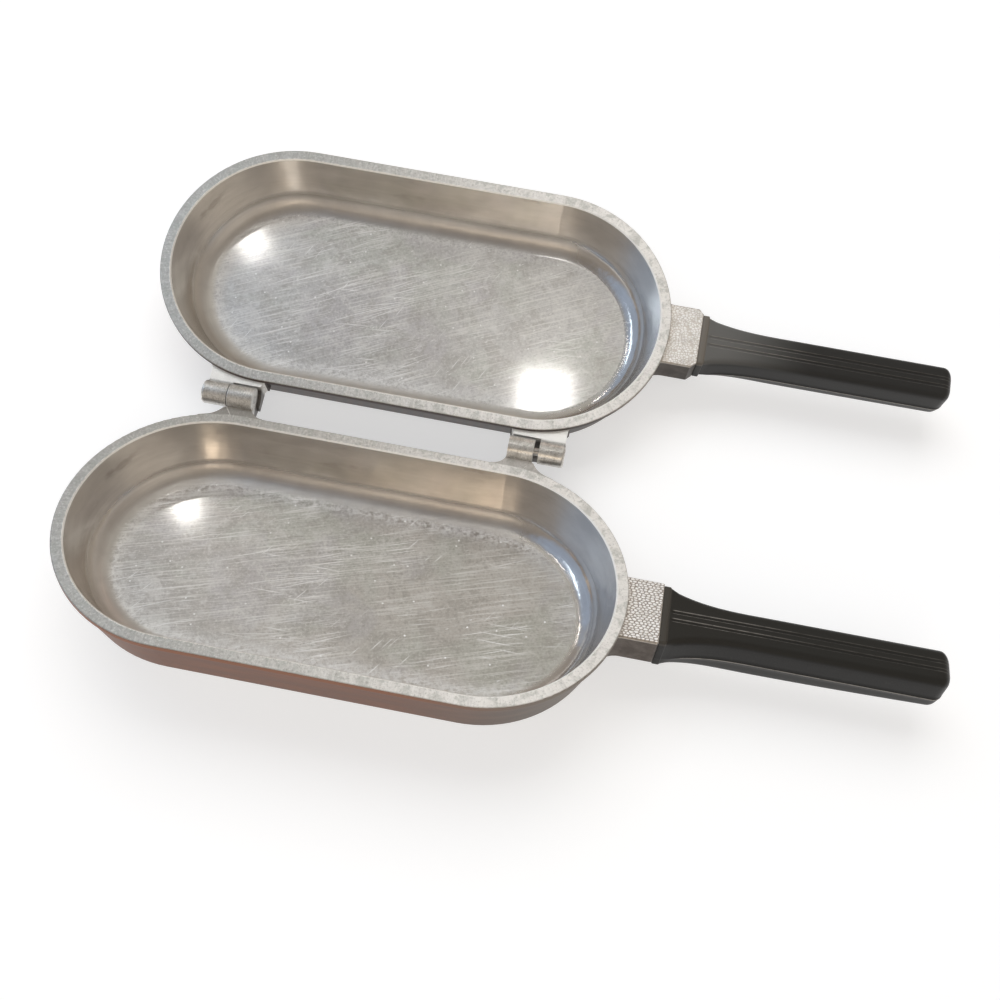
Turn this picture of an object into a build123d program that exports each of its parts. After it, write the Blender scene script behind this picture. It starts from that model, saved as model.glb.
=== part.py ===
"""Double-sided flip pan: two cast pans on a pair of pin hinges, each with a moulded handle.

The pan stands open on its hinge stops, as a shallow V. Each half is drawn in its own tilted
frame, whose X axis is the hinge axis, whose Y axis runs across the pans and whose Z axis
leaves the rim squarely. The base lies on the -Y side of the hinge, the lid on the +Y side.
"""

import os
from math import atan2, cos, degrees, radians, sin, sqrt, tan

from build123d import *

os.makedirs("parts", exist_ok=True)

# Sizes are in millimetres and angles in degrees
BASE = -1
LID = 1
HALVES = {BASE: "base", LID: "lid"}
HINGES = {-1: "left", 1: "right"}

# Pan castings, alike in both halves
pan_length = 272.0
pan_width = 136.0
rim_width = 5.7
rim_height = 3.4
rim_overhang = 0.8
rim_edge_radius = 0.6
rim_mouth_chamfer = 0.5
inside_depth = 31.0
floor_thickness = 3.2
outside_draft = 13.5
inside_draft = 13.5
outside_bottom_radius = 2.5
inside_bottom_radius = 11.0

# Hinges
opening_angle = 159.0
hinge_to_rim = 10.5
seat_offset = 1.4
closed_rim_gap = 0.2
knuckle_diameter = 12.0
base_knuckle_length = 13.1
lid_knuckle_length = 13.2
base_knuckle_end_radius = 0.4
lid_knuckle_end_radius = 1.4
hinge_past_straight = 11.1
end_play = 2.8
end_gap = 0.2
ear_depth = 12.0
ear_root_margin = 0.2
base_ear_inner_blend = 7.0
lid_ear_inner_blend = 2.0
base_ear_outer_blend = 12.0
lid_ear_outer_blend = 3.0
lid_ear_setback = 0.6
base_running_gap = 0.8
lid_running_gap = 2.0
stop_gap = 0.05

# Hinge pins
pin_diameter = 4.0
pin_engagement = 8.0
pin_chamfer = 0.4
pin_press_gap = 0.01
pin_running_gap = 0.05
pin_end_clearance = 0.8

# Handle block and tang, cast with each pan
block_length = 16.3
block_width = 34.0
block_height = 17.8
block_drop = 3.1
block_root = 14.0
block_edge_radius = 1.0
block_blend = 11.0
base_block_corner = 0.8
lid_block_corner = 3.0
tang_length = 24.0
tang_width = 11.0
tang_height = 8.0
tang_clearance = 0.25

# Handle moulding
base_handle_length = 135.6
lid_handle_length = 132.8
base_collar_width = 32.0
lid_collar_width = 28.4
base_collar_height = 21.0
lid_collar_height = 18.0
collar_length = 3.6
collar_edge_radius = 1.4
base_neck_side_step = 0.3
lid_neck_side_step = 0.9
neck_top_step = 0.5
flare_length = 45.0
flare_power = 3.0
base_grip_top_width = 18.9
lid_grip_top_width = 18.2
base_grip_height = 26.6
lid_grip_height = 23.8
grip_peak = 45.0
base_tip_height = 23.6
lid_tip_height = 23.0
seam_depth = 14.4
seam_swell = 0.8
bottom_narrowing = 0.5
tip_radius = 5.5
tip_sections = 4
tip_end_share = 0.95
tip_edge_radius = 1.0
grip_top_radius = 3.2
grip_bottom_radius = 4.0
grip_sections = 10
groove_spacing = 4.4
groove_radius = 0.9
groove_depth = 0.6
groove_start = 4.5
groove_end_margin = 6.0

# Handle screw and washer
screw_diameter = 4.0
screw_clearance = 0.25
screw_fit_gap = 0.05
screw_from_block = 14.0
screw_head_recess = 0.6
screw_head_diameter = 8.0
screw_head_height = 2.4
screw_head_radius = 0.9
screw_slot_width = 1.0
screw_slot_depth = 1.2
screw_end_margin = 0.6
washer_diameter = 9.4
washer_thickness = 0.8
counterbore_clearance = 0.3

# Sizes in which the two halves differ
knuckle_length = {BASE: base_knuckle_length, LID: lid_knuckle_length}
knuckle_end_radius = {BASE: base_knuckle_end_radius, LID: lid_knuckle_end_radius}
ear_inner_blend = {BASE: base_ear_inner_blend, LID: lid_ear_inner_blend}
ear_outer_blend = {BASE: base_ear_outer_blend, LID: lid_ear_outer_blend}
running_gap = {BASE: base_running_gap, LID: lid_running_gap}
block_corner = {BASE: base_block_corner, LID: lid_block_corner}
handle_length = {BASE: base_handle_length, LID: lid_handle_length}
collar_width = {BASE: base_collar_width, LID: lid_collar_width}
collar_height = {BASE: base_collar_height, LID: lid_collar_height}
neck_side_step = {BASE: base_neck_side_step, LID: lid_neck_side_step}
grip_top_width = {BASE: base_grip_top_width, LID: lid_grip_top_width}
grip_height = {BASE: base_grip_height, LID: lid_grip_height}
tip_height = {BASE: base_tip_height, LID: lid_tip_height}

# Places that follow from the sizes above
outside_depth = inside_depth + floor_thickness
centre_to_hinge = pan_width / 2 + hinge_to_rim
hinge_span = pan_length - pan_width + 2 * hinge_past_straight
rim_level = {BASE: -seat_offset, LID: seat_offset - closed_rim_gap}
ear_level = -seat_offset
block_level = {side: rim_level[side] - block_drop for side in HALVES}
block_middle = {side: block_level[side] - block_height / 2 for side in HALVES}
block_end = pan_length / 2 + block_length
knuckle_radius = knuckle_diameter / 2
lid_offset = end_play / 2 - end_gap
knuckle_start = {BASE: hinge_span / 2 - knuckle_length[BASE], LID: (hinge_span + end_play) / 2}
ear_outer = {
    BASE: knuckle_start[BASE] + knuckle_length[BASE],
    LID: knuckle_start[LID] + knuckle_length[LID] - lid_ear_setback,
}
round_end_radius = pan_width / 2
past_straight = ear_outer[LID] - (pan_length - pan_width) / 2
ear_root = ear_root_margin + round_end_radius - sqrt(round_end_radius**2 - past_straight**2)
pin_radius = pin_diameter / 2
pin_bore_depth = pin_engagement + end_play / 2 - end_gap + pin_end_clearance
screw_radius = screw_diameter / 2
screw_along = block_end + screw_from_block

# The halves' tilts share the open fold so that both bottom edges beside the hinge touch the floor
open_fold = 180.0 - opening_angle
wall_foot = pan_width / 2 - rim_overhang - (outside_depth - rim_height) * tan(radians(outside_draft))
block_foot = rim_overhang + (block_drop + block_height - rim_height) * tan(radians(outside_draft))
edge_run = outside_bottom_radius / tan(radians(90 + outside_draft) / 2)
edge_across = centre_to_hinge - wall_foot + edge_run
edge_level = {side: rim_level[side] - outside_depth + outside_bottom_radius for side in HALVES}
fold_sin = sin(radians(open_fold))
fold_cos = cos(radians(open_fold))
base_tilt = atan2(
    edge_across * fold_sin + edge_level[LID] * fold_cos - edge_level[BASE],
    edge_across * (1 + fold_cos) - edge_level[LID] * fold_sin,
)
tilt = {BASE: degrees(base_tilt), LID: open_fold - degrees(base_tilt)}
edge_drop = -edge_across * sin(base_tilt) - edge_level[BASE] * cos(base_tilt)
hinge_height = edge_drop + outside_bottom_radius

# The origin is on the floor, under the middle of the whole length
handle_end = max(block_end + handle_length[BASE], block_end + handle_length[LID] + lid_offset)
hinge_x = (pan_length / 2 - handle_end) / 2


def half_plane(side):
    """The tilted plane of one half, through the hinge axis."""
    angle = radians(tilt[side])
    shift = lid_offset if side == LID else 0
    normal = (0, -side * sin(angle), cos(angle))
    return Plane(origin=(hinge_x + shift, 0, hinge_height), x_dir=(1, 0, 0), z_dir=normal)


def cross_plane(side, along, across=0, level=0):
    """A plane square to the hinge axis, whose X runs across the pan and whose Y leaves the rim."""
    half = half_plane(side)
    origin = half.from_local_coords((along, across, level))
    return Plane(origin=origin, x_dir=half.y_dir, z_dir=half.x_dir)


def up_axis(side):
    """The direction in which one half's rim faces."""
    half = half_plane(side)
    return Axis(half.origin, half.z_dir)


def make_outline_block(side, level, margin, depth, draft):
    """A block of the pan's outline, margin inside the rim's edge, hanging from level."""
    with BuildPart() as block:
        with BuildSketch(half_plane(side).offset(level)):
            with Locations((0, side * centre_to_hinge)):
                SlotOverall(pan_length - 2 * margin, pan_width - 2 * margin)
        extrude(amount=-depth, taper=draft)
    return block.part


def make_shell(side):
    """The solid outside of one pan: drafted wall, rounded bottom edge and rim flange."""
    level = rim_level[side]
    wall_depth = outside_depth - rim_height
    with BuildPart() as wall:
        add(make_outline_block(side, level - rim_height, rim_overhang, wall_depth, outside_draft))
        fillet(wall.faces().sort_by(up_axis(side))[0].edges(), outside_bottom_radius)
    with BuildPart() as shell:
        add(make_outline_block(side, level, 0, rim_height, 0))
        flange_faces = shell.faces().sort_by(up_axis(side))
        fillet(flange_faces[0].edges() + flange_faces[-1].edges(), rim_edge_radius)
        add(wall.part)
    return shell.part


def make_cavity(side):
    """The hollow of one pan, with a rounded bottom corner and an eased mouth."""
    level = rim_level[side]
    mouth_margin = rim_width - rim_mouth_chamfer
    with BuildPart() as cavity:
        add(make_outline_block(side, level, rim_width, inside_depth, inside_draft))
        fillet(cavity.faces().sort_by(up_axis(side))[0].edges(), inside_bottom_radius)
        add(make_outline_block(side, level, mouth_margin, 2 * rim_mouth_chamfer, 45))
    return cavity.part


def make_ear(side, end):
    """The web from one pan's wall to a hinge, cut off at the face that stops the opening."""
    inner = knuckle_start[BASE]
    outer = ear_outer[side]
    blends = {inner: ear_inner_blend[side], outer: ear_outer_blend[side]}
    reach = hinge_to_rim + ear_root + knuckle_radius
    across = side * (reach / 2 - knuckle_radius)
    with BuildPart() as ear:
        with BuildSketch(half_plane(side).offset(ear_level)) as outline:
            with Locations((0, side * centre_to_hinge)):
                SlotOverall(pan_length, pan_width)
            with Locations((end * (inner + outer) / 2, across)):
                Rectangle(outer - inner, reach)
            for along, blend in blends.items():
                joints = outline.vertices().filter_by(lambda v: side * v.Y > hinge_to_rim / 2)
                fillet(joints.sort_by(lambda v: abs(end * v.X - along))[0], blend)
            blended_inner = inner - blends[inner]
            blended_outer = outer + blends[outer]
            with Locations((end * (blended_inner + blended_outer) / 2, across)):
                Rectangle(blended_outer - blended_inner, reach, mode=Mode.INTERSECT)
        extrude(amount=-(ear_depth + ear_level))
        stop_face = Plane(origin=(0, side * stop_gap / 2, 0), x_dir=(1, 0, 0), z_dir=(0, side, 0))
        split(bisect_by=stop_face, keep=Keep.TOP)
    return ear.part


def make_rod(side, end, start, length, radius):
    """A cylinder on the hinge axis, which starts this far from the middle and runs outwards."""
    with BuildPart() as rod:
        with BuildSketch(cross_plane(side, end * start)):
            Circle(radius)
        extrude(amount=end * length)
    return rod.part


def make_knuckle(side, end):
    """One hinge knuckle, with its outer end rounded."""
    with BuildPart() as knuckle:
        add(make_rod(side, end, knuckle_start[side], knuckle_length[side], knuckle_radius))
        end_edges = knuckle.edges().filter_by(GeomType.CIRCLE).sort_by(Axis.X)
        fillet(end_edges[-1 if end > 0 else 0], knuckle_end_radius[side])
    return knuckle.part


def make_turning_room(side, end):
    """The space in which the other pan's knuckle and web turn, cut out of one pan's ear."""
    start = hinge_span / 2 if side == BASE else 0
    length = pan_length / 2 - start if side == BASE else knuckle_start[LID]
    return make_rod(side, end, start, length, knuckle_radius + running_gap[side])


def make_pin_bore(side, end):
    """The bore for a hinge pin: right through the base's knuckle, blind in the lid's."""
    if side == BASE:
        return make_rod(side, end, knuckle_start[side], knuckle_length[side], pin_radius + pin_press_gap)
    return make_rod(side, end, knuckle_start[side], pin_bore_depth, pin_radius + pin_running_gap)


def make_block(side):
    """The block behind the rim that carries the handle, blended into the foot of the wall."""
    length = block_root + block_length
    middle = (block_end - length / 2, side * centre_to_hinge)
    with BuildPart() as block:
        with BuildSketch(half_plane(side).offset(block_level[side])) as outline:
            with Locations((0, side * centre_to_hinge)):
                SlotOverall(pan_length - 2 * block_foot, pan_width - 2 * block_foot)
            with Locations(middle):
                Rectangle(length, block_width)
            chamfer(outline.vertices().group_by(Axis.X)[-1], block_corner[side])
            roots = outline.vertices().filter_by(lambda v: block_end - length < v.X < pan_length / 2)
            fillet(roots, block_blend)
            with Locations(middle):
                Rectangle(length, block_width + 3 * block_blend, mode=Mode.INTERSECT)
        extrude(amount=-block_height)
        crest = block.edges().filter_by(Axis.X).filter_by(lambda e: e.center().X > hinge_x + pan_length / 2)
        fillet(crest, block_edge_radius)
    return block.part


def make_tang(side, clearance=0.0):
    """The cast tang that enters the handle, or with a clearance the socket for it."""
    with BuildPart() as tang:
        with BuildSketch(cross_plane(side, block_end, side * centre_to_hinge, block_middle[side])):
            Rectangle(tang_width + 2 * clearance, tang_height + 2 * clearance)
        extrude(amount=tang_length + clearance)
    return tang.part


def make_upright(side, level, height, radius):
    """A cylinder on a handle screw's axis, from level towards the rim's side."""
    with BuildPart() as upright:
        with BuildSketch(half_plane(side).offset(level)):
            with Locations((screw_along, side * centre_to_hinge)):
                Circle(radius)
        extrude(amount=height)
    return upright.part


def make_pan(side):
    """One casting: shell, hinge ears and knuckles, handle block and tang, hollowed and bored."""
    with BuildPart() as pan:
        add(make_shell(side))
        add(make_block(side))
        for end in HINGES:
            add(make_ear(side, end))
        for end in HINGES:
            add(make_turning_room(side, end), mode=Mode.SUBTRACT)
        for end in HINGES:
            add(make_knuckle(side, end))
        add(make_cavity(side), mode=Mode.SUBTRACT)
        for end in HINGES:
            add(make_pin_bore(side, end), mode=Mode.SUBTRACT)
        add(make_tang(side))
        tang_foot = block_middle[side] - tang_height / 2
        add(make_upright(side, tang_foot, tang_height, screw_radius + screw_fit_gap), mode=Mode.SUBTRACT)
    return pan


def flare_rest(along):
    """The share of the flare's length that is still ahead, this far from the block."""
    return max(0.0, 1 - (along - collar_length) / flare_length)


def grip_depth(side, along):
    """The grip's depth below the block's top: it swells from the neck to a peak and eases to the tip."""
    if along < grip_peak:
        share = (along - collar_length) / (grip_peak - collar_length)
        neck_height = collar_height[side] - neck_side_step[side]
        return neck_height + (grip_height[side] - neck_height) * sin(radians(90 * share))
    share = (along - grip_peak) / (handle_length[side] - grip_peak)
    return tip_height[side] + (grip_height[side] - tip_height[side]) * cos(radians(90 * share))


def head_foot_level(side):
    """The level of the screw head's slotted face, sunk into the grip's lower side."""
    return block_level[side] - grip_depth(side, screw_from_block) + screw_head_recess


def head_level(side):
    """The level where the screw's head bears on its washer."""
    return head_foot_level(side) + screw_head_height


def washer_level(side):
    """The level where the washer bears on the handle."""
    return head_level(side) + washer_thickness


def make_grip_section(side, along, narrowing):
    """One section of the grip: flat top, widest at the moulding seam, rounded underneath."""
    neck_width = collar_width[side] - 2 * neck_side_step[side]
    flare = (neck_width - grip_top_width[side]) * flare_rest(along) ** flare_power
    half_top = (grip_top_width[side] + flare) / 2 - narrowing
    half_seam = half_top + seam_swell
    half_bottom = half_top - bottom_narrowing
    top = -neck_top_step * flare_rest(along) - narrowing
    bottom = narrowing - grip_depth(side, along)
    with BuildSketch(cross_plane(side, block_end + along, side * centre_to_hinge, block_level[side])) as section:
        with BuildLine():
            Polyline(
                (-half_top, top),
                (half_top, top),
                (half_seam, -seam_depth),
                (half_bottom, bottom),
                (-half_bottom, bottom),
                (-half_seam, -seam_depth),
                close=True,
            )
        make_face()
        fillet(section.vertices().group_by(Axis.Y)[-1], grip_top_radius)
        fillet(section.vertices().group_by(Axis.Y)[0], grip_bottom_radius)
    return section.sketch


def make_collar(side):
    """The collar that meets the block."""
    with BuildPart() as collar:
        middle_level = block_level[side] - collar_height[side] / 2
        with BuildSketch(cross_plane(side, block_end, side * centre_to_hinge, middle_level)):
            RectangleRounded(collar_width[side], collar_height[side], collar_edge_radius)
        extrude(amount=collar_length)
        fillet(collar.faces().sort_by(Axis.X)[-1].edges(), collar_edge_radius / 2)
    return collar.part


def make_grooves(side):
    """The pair of shallow round grooves along the grip's top."""
    level = block_level[side] + groove_radius - groove_depth
    with BuildPart() as grooves:
        with BuildSketch(cross_plane(side, block_end + groove_start, side * centre_to_hinge, level)):
            with GridLocations(groove_spacing, 0, 2, 1):
                Circle(groove_radius)
        extrude(amount=handle_length[side] - groove_start - groove_end_margin)
    return grooves.part


def make_handle(side):
    """One handle: collar, flared grip, twin grooves, tang socket and counterbored screw hole."""
    with BuildPart() as handle:
        tip_start = handle_length[side] - tip_radius * tip_end_share
        for step in range(grip_sections):
            share = (1 - cos(radians(180 * step / (grip_sections - 1)))) / 2
            add(make_grip_section(side, collar_length + (tip_start - collar_length) * share, 0))
        for step in range(tip_sections):
            share = tip_end_share * sqrt((step + 1) / tip_sections)
            narrowing = tip_radius * (1 - sqrt(1 - share**2))
            add(make_grip_section(side, tip_start + tip_radius * share, narrowing))
        loft()
        fillet(handle.faces().sort_by(Axis.X)[-1].edges(), tip_edge_radius)
        add(make_collar(side))
        add(make_grooves(side), mode=Mode.SUBTRACT)
        add(make_tang(side, tang_clearance), mode=Mode.SUBTRACT)
        seat = washer_level(side)
        add(make_upright(side, seat, block_middle[side] - seat, screw_radius + screw_clearance), mode=Mode.SUBTRACT)
        counterbore_radius = washer_diameter / 2 + counterbore_clearance
        add(make_upright(side, seat, -grip_height[side], counterbore_radius), mode=Mode.SUBTRACT)
    return handle


def make_washer(side):
    """The flat washer at the bottom of the counterbore."""
    with BuildPart() as washer:
        add(make_upright(side, head_level(side), washer_thickness, washer_diameter / 2))
        hole_radius = screw_radius + screw_clearance
        add(make_upright(side, head_level(side), washer_thickness, hole_radius), mode=Mode.SUBTRACT)
    return washer


def make_screw(side):
    """The slotted pan-head screw that draws the handle onto the tang."""
    shank_length = block_middle[side] + tang_height / 2 - screw_end_margin - head_level(side)
    with BuildPart() as screw:
        add(make_upright(side, head_level(side), -screw_head_height, screw_head_diameter / 2))
        fillet(screw.edges().sort_by(up_axis(side))[0], screw_head_radius)
        with BuildSketch(half_plane(side).offset(head_foot_level(side))):
            with Locations((screw_along, side * centre_to_hinge)):
                Rectangle(screw_slot_width, screw_head_diameter)
        extrude(amount=screw_slot_depth, mode=Mode.SUBTRACT)
        add(make_upright(side, head_level(side), shank_length, screw_radius))
    return screw


def make_pin(end):
    """One hinge pin, pressed through the base's knuckle and turning in the lid's."""
    length = knuckle_start[LID] + pin_engagement - knuckle_start[BASE]
    with BuildPart() as pin:
        add(make_rod(BASE, end, knuckle_start[BASE], length, pin_radius))
        chamfer(pin.edges().filter_by(GeomType.CIRCLE), pin_chamfer)
    return pin


pieces = {}
for half_side, half_name in HALVES.items():
    pieces[f"{half_name}_pan"] = make_pan(half_side)
    pieces[f"{half_name}_handle"] = make_handle(half_side)
    pieces[f"{half_name}_handle_washer"] = make_washer(half_side)
    pieces[f"{half_name}_handle_screw"] = make_screw(half_side)
for hinge_end, hinge_name in HINGES.items():
    pieces[f"{hinge_name}_hinge_pin"] = make_pin(hinge_end)

for label, piece in pieces.items():
    piece.part.label = label
    export_step(piece.part, f"parts/{label}.step")
    print(label, round(piece.part.volume), "mm3")
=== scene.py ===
import math

import bmesh
import bpy
import numpy as np
from mathutils import Matrix, Vector


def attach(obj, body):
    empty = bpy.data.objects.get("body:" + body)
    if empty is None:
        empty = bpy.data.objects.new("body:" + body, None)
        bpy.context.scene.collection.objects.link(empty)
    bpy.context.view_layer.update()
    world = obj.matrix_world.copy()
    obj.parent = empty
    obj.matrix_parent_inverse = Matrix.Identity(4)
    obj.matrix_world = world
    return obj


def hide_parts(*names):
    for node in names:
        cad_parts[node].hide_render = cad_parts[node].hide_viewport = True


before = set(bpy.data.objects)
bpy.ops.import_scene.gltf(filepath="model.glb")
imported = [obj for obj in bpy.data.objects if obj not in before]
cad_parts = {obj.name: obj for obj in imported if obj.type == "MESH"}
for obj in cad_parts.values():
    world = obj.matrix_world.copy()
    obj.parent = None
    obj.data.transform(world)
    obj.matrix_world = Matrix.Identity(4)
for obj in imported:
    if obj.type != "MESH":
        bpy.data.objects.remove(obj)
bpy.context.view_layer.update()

MM = 0.001
BASE, LID = -1, 1
NAMES = {BASE: "base", LID: "lid"}

# The two tilted half frames of the CAD, in millimetres and degrees
HINGE_X, HINGE_Z = -75.95, 29.957
LID_OFFSET = 1.2
TILT = {BASE: 13.30225, LID: 7.69775}
RIM_LEVEL = {BASE: -1.4, LID: 1.2}
CENTRE_V = 78.5
STRAIGHT = 68.0
BLOCK_END = 152.3
BLOCK_LEVEL = {BASE: -4.5, LID: -1.9}

# Handle sizes, as in the CAD
HANDLE_LENGTH = {BASE: 135.6, LID: 132.8}
COLLAR_WIDTH = {BASE: 32.0, LID: 28.4}
COLLAR_HEIGHT = {BASE: 21.0, LID: 18.0}
COLLAR_LENGTH = 3.6
NECK_STEP = {BASE: 0.3, LID: 0.9}
GRIP_WIDTH = {BASE: 18.9, LID: 18.2}
GRIP_HEIGHT = {BASE: 26.6, LID: 23.8}
TIP_HEIGHT = {BASE: 23.6, LID: 23.0}
GRIP_PEAK = 45.0
SEAM_DEPTH = 14.4
SCREW_ALONG = 14.0
SCREW_RADIUS = 2.25
SCREW_WELL_RADIUS = 5.0
SCREW_WELL_DEPTH = 3.8
TANG_DEPTH = 8.9
SOCKET_SIZE = (25.25, 11.5, 8.5)
SOCKET_REACH = 24.25
FLARE_LENGTH = 45.0
NECK_TOP_STEP = 0.5
SEAM_SWELL = 0.8
SEAM_RIDGE = 0.16
BOTTOM_NARROWING = 0.5
TIP_RADIUS = 5.5
TIP_RUN = 5.225
COLLAR_RADII = (1.6, 1.8)
NECK_RADII = (1.6, 2.0)
GRIP_TOP_RADIUS = {BASE: 3.6, LID: 3.2}
GRIP_BOTTOM_RADIUS = 4.0
ARC_STEPS = 7

# Sections along the handle, by their distance from the block: the collar's with their insets, the grip's, which
# are evenly spaced from EVEN_START on, then those of the rounded tip as shares of its run
COLLAR_STATIONS = (
    (0, 0.45), (0.12, 0.18), (0.4, 0.0), (1.7, 0.0), (3.0, 0.0), (3.3, 0.2), (3.5, 0.6), (3.58, 1.0),
)
COLLAR_FLAT_END = 3
GRIP_STATIONS = (
    3.75, 4.1, 4.6, 5.1, 5.6, 6.2, 6.9, 7.8, 8.9, 10.2, 12, 14, 16,
    18.5, 21, 24, 27, 30.5, 34, 38, 42, 46, 50,
)
EVEN_START, EVEN_COUNT, TIP_MARGIN = 56, 13, 3
TIP_SHARES = (0.2, 0.38, 0.54, 0.68, 0.79, 0.88, 0.945, 0.985)
TIP_RINGS = (0.7, 0.35)
SMOOTH_ANGLE = {"grip": 38, "pebbles": 60}

# Grooves on top of the handles: their middles, half width, depth, and the section's points across each
GROOVE_PLACES = (-2.2, 2.2)
GROOVE_HALF = 0.85
GROOVE_DEPTH = 0.6
GROOVE_START, GROOVE_START_RUN = 4.1, 1.8
GROOVE_STOP, GROOVE_STOP_RUN = 6.0, 1.6
GROOVE_STEPS = (-1.15, -0.95, -0.8, -0.6, -0.35, 0.0, 0.35, 0.6, 0.8, 0.95, 1.15)

# The pans' rounded outline and the edge of the flat floor, as distances from the middle line
RIM_RADIUS = 68.0
FLOOR_EDGE = 46.2

# Where one finish of a pan gives way to the next: levels are below the rim, radii from the middle line
WALL_DRAFT = 0.24
RIM_FACE_LEVEL, RIM_FACE_RADIUS = -0.6, 69.5
INSIDE_RADIUS, INSIDE_LEVEL = 65.3, -32.6
BOTTOM_LEVEL = -33.9
BLOCK_START, BLOCK_SIDE, BLOCK_UNDER, BLOCK_RADIUS = 125, 22, -22, 67.3
KNUCKLE_START, KNUCKLE_ALONG = 68.2, 62
EAR_START, EAR_RADIUS, EAR_LEVEL = 55, 66, -6
EAR_ALONG = (58, 97)

# Pebbled tops of the handle blocks
PEBBLE_SEED = 7
PEBBLE_ROWS, PEBBLE_COLUMNS = (-24, 25), (-4, 18)
BLOCK_HALF = 17
BLOCK_MIDDLE = 128
BLOCK_CORNER = {BASE: 0.8, LID: 3.0}
CREST_RADIUS = 1.0
PATCH_HALF = 16.55
PATCH_LENGTH = 18
PEBBLE_PITCH = {BASE: (2.15, 1.32), LID: (1.55, 1.15)}
PEBBLE_JITTER = {BASE: 0.16, LID: 0.34}
PEBBLE_HEIGHT = {BASE: 0.42, LID: 0.30}
PEBBLE_STEP = 0.17
PEBBLE_GAP = 0.38
PEBBLE_SINK = 0.06
SIDE_FADE, END_FADE, END_RUN = 0.5, 0.35, 16
SKIN_DEPTH = 1.2

# Looks that differ between the halves
SCRATCH_TURN = {BASE: 20, LID: 26}
NICK_SHARE = {BASE: 0.05, LID: 0.16}
FLOOR_COLOR = {BASE: (0.735, 0.700, 0.665), LID: (0.695, 0.680, 0.660)}
LEFT_SHADE = {BASE: 0.75, LID: 0.15}
WALL_COLOR = {BASE: (0.690, 0.655, 0.620), LID: (0.690, 0.660, 0.625)}
PEBBLE_COLORS = {
    BASE: ((0.430, 0.370, 0.325), (0.990, 0.970, 0.935)),
    LID: ((0.740, 0.690, 0.630), (0.995, 0.980, 0.945)),
}
BLOCK_COLORS = {
    BASE: ((0.086, 0.071, 0.061), (0.128, 0.109, 0.095)),
    LID: ((0.052, 0.043, 0.037), (0.082, 0.070, 0.060)),
}
PEBBLE_METAL = {BASE: 0.55, LID: 0.45}
PHENOLIC_TOP = {BASE: (0.024, 0.023, 0.020), LID: (0.030, 0.029, 0.027)}
PHENOLIC_NECK_SHEEN = {BASE: (0.026, 0.024, 0.020), LID: (0.150, 0.147, 0.138)}
COLLAR_REFLECTION = {BASE: 0.25, LID: 0.75}
EDGE_WEAR_AND_HIGHLIGHT = (0.990, 0.970, 0.920)

# Scratches of the cooking surface: angle, length, spacing, width, and the share of places that have one
SCRATCH_SETS = (
    (0, 260, 2.8, 0.130, 0.60),
    (7, 170, 2.3, 0.140, 0.60),
    (-8, 190, 2.6, 0.130, 0.50),
    (3, 80, 1.7, 0.165, 0.70),
    (-3, 55, 1.5, 0.165, 0.60),
    (-20, 120, 2.9, 0.120, 0.40),
    (38, 60, 3.3, 0.110, 0.40),
)

# The photograph's camera: its right, down and looking directions, its place in millimetres, and its lens as a
# share of the sensor's width
CAMERA_AXES = (
    (0.98232, 0.18372895, 0.03594047),
    (0.18234, -0.89548191, -0.40604463),
    (-0.04242, 0.40542438, -0.91314305),
)
CAMERA_PLACE = (15.619, -261.758, 552.201)
LENS_SHARE = 1.15424
SENSOR_WIDTH = 36

# The studio: colours by the height of the direction, then round patches by azimuth, elevation, inner angle,
# outer angle and colour. FLOOR_LIFT is what the floor adds to itself where it is seen
WORLD_STOPS = (
    (0.0, 0.85, 0.84, 0.82),
    (0.10, 0.80, 0.78, 0.76),
    (0.22, 0.35, 0.315, 0.28),
    (0.75, 0.32, 0.29, 0.26),
    (0.95, 0.25, 0.225, 0.20),
)
WORLD_PATCHES = (
    (180, 66, 14, 34, (0.24, 0.21, 0.18)),
    (-78, 36, 26, 44, (0.36, 0.43, 0.55)),
    (5, 54, 10, 34, (0.49, 0.47, 0.43)),
    (118, 32, 8, 32, (0.62, 0.56, 0.49)),
)
FLOOR_LIFT = 0.54
STAGE_COLOR = (0.57, 0.57, 0.57)

# Lamps: name, azimuth, elevation, distance, size, radiance, colour, seen in reflections, what they look at
WHITE, WARM, CREAM, AMBER = (1, 1, 1), (1, 0.97, 0.92), (1, 0.95, 0.88), (1, 0.82, 0.62)
MIDDLE = (-0.04, 0, 0.02)
LAMPS = (
    ("key", -15, 62, 1.7, (1.5, 1.1), 2.6, WHITE, False, MIDDLE),
    ("fill", 180, 60, 1.9, (1.4, 1.0), 1.2, WHITE, False, MIDDLE),
    ("spot_near", -23, 40, 2.0, (0.052, 0.088), 16, WARM, True, (-0.166, -0.0525, 0.009)),
    ("spot_far", -42, 65, 2.0, (0.062, 0.080), 13, WARM, True, (-0.1765, 0.106, 0.014)),
    ("ceiling", -5, 76, 2.0, (0.12, 0.12), 12, (1, 0.98, 0.95), True, (0.0027, 0.0466, 0.0062)),
    ("window_left", -64, 49, 2.0, (0.80, 0.14), 4.5, (0.74, 0.87, 1.0), True, MIDDLE),
    ("window_back_low", 179, 24, 2.0, (0.34, 0.20), 2.4, CREAM, True, MIDDLE),
    ("window_back", 176, 38, 2.0, (0.30, 0.36), 3.8, AMBER, True, MIDDLE),
    ("strip_back", -172, 37, 2.0, (0.22, 0.36), 1.0, AMBER, True, MIDDLE),
    ("glow_front", 4, 18, 2.0, (0.25, 0.22), 2.0, (1, 0.60, 0.45), True, MIDDLE),
)


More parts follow.
